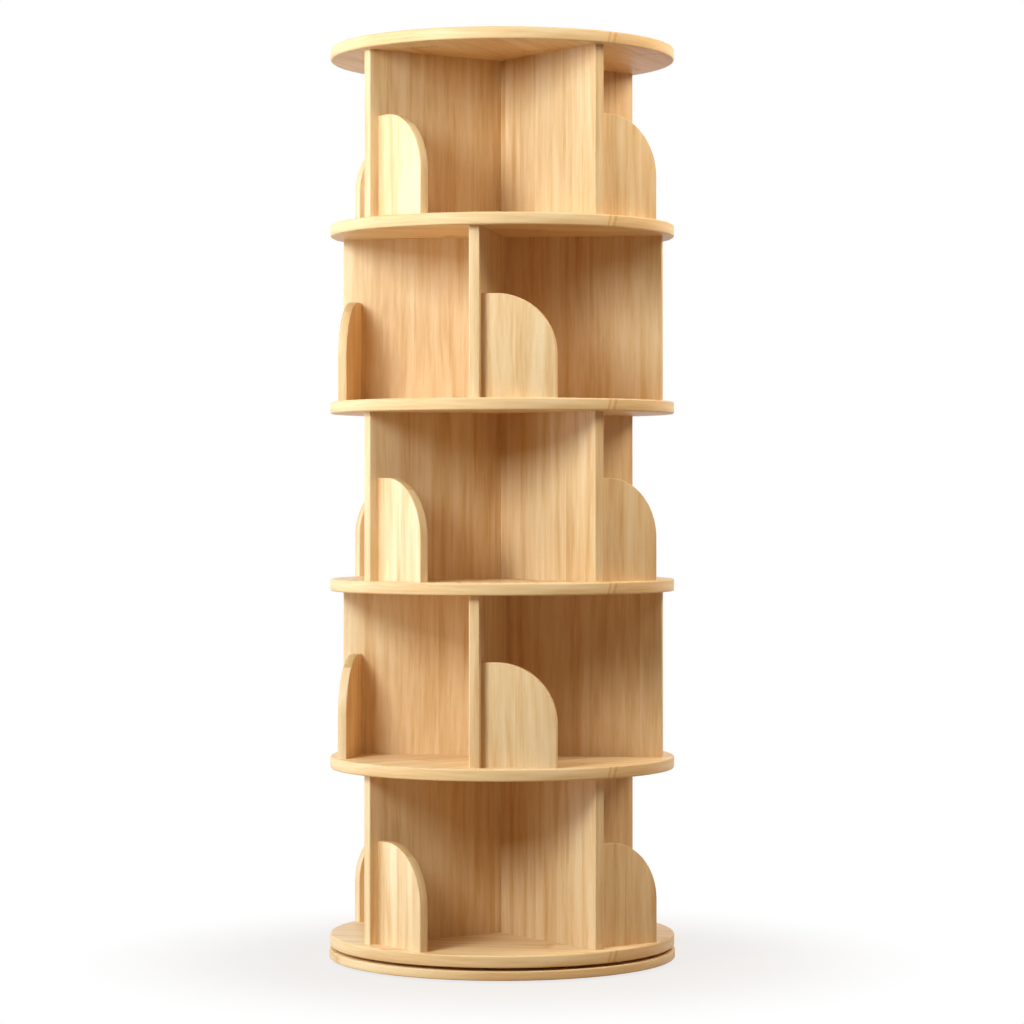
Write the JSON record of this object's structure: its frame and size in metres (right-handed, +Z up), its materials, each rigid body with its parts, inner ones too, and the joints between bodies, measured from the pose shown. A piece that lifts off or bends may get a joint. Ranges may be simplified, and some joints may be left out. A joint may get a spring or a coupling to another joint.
{
  "type": "revolving bookcase",
  "caption": "Round revolving floor bookcase: stacked tiers of crossed panels between round shelves, with low rounded guards, turning as one on a bearing over a fixed base disc.",
  "frame": {"origin": "on the floor, on the axis of rotation, at the centre under the foot pads", "axes": "+Z up along the axis of rotation; -Y towards the front, where a panel's edge stands in tiers 2 and 4; +X to the right"},
  "size_m": [0.4619, 0.462, 1.215],
  "materials": {
    "wood": "pale wood, clear satin lacquer",
    "felt": "dense felt",
    "ring_metal": "machined",
    "ball_steel": "polished bearing steel",
    "spacer_plastic": "natural nylon",
    "screw_steel": "bright zinc plated"
  },
  "bodies": {
    "base": {"foot_pads": "felt", "base_disc": "wood", "base_screws": "screw_steel", "turntable_outer_ring": "ring_metal"},
    "ball_set": {"turntable_balls": "ball_steel", "ball_spacers": "spacer_plastic"},
    "tower": {"turntable_inner_ring": "ring_metal", "inner_ring_screws": "screw_steel", "bottom_disc": "wood", "bottom_disc_screws": "screw_steel", "shelf_disc_1": "wood", "shelf_disc_1_screws": "screw_steel", "shelf_disc_2": "wood", "shelf_disc_2_screws": "screw_steel", "shelf_disc_3": "wood", "shelf_disc_3_screws": "screw_steel", "shelf_disc_4": "wood", "shelf_disc_4_screws": "screw_steel", "top_disc": "wood", "top_disc_screws": "screw_steel", "tier_1_long_panel": "wood", "tier_1_short_panel_a": "wood", "tier_1_short_panel_b": "wood", "tier_1_guard_a": "wood", "tier_1_guard_b": "wood", "tier_1_guard_c": "wood", "tier_1_guard_d": "wood", "tier_2_long_panel": "wood", "tier_2_short_panel_a": "wood", "tier_2_short_panel_b": "wood", "tier_2_guard_a": "wood", "tier_2_guard_b": "wood", "tier_2_guard_c": "wood", "tier_2_guard_d": "wood", "tier_3_long_panel": "wood", "tier_3_short_panel_a": "wood", "tier_3_short_panel_b": "wood", "tier_3_guard_a": "wood", "tier_3_guard_b": "wood", "tier_3_guard_c": "wood", "tier_3_guard_d": "wood", "tier_4_long_panel": "wood", "tier_4_short_panel_a": "wood", "tier_4_short_panel_b": "wood", "tier_4_guard_a": "wood", "tier_4_guard_b": "wood", "tier_4_guard_c": "wood", "tier_4_guard_d": "wood", "tier_5_long_panel": "wood", "tier_5_short_panel_a": "wood", "tier_5_short_panel_b": "wood", "tier_5_guard_a": "wood", "tier_5_guard_b": "wood", "tier_5_guard_c": "wood", "tier_5_guard_d": "wood"}
  },
  "joints": [
    {"name": "revolve", "type": "hinge", "parent": "base", "child": "tower", "pos_m": [0, 0, 0.01953], "axis": [0, 0, 1], "continuous": true},
    {"name": "balls_roll", "type": "hinge", "parent": "base", "child": "ball_set", "pos_m": [0, 0, 0.01953], "axis": [0, 0, 1], "continuous": true}
  ],
  "couplings": [
    {"joint": "balls_roll", "follows": "revolve", "ratio": 0.5}
  ]
}
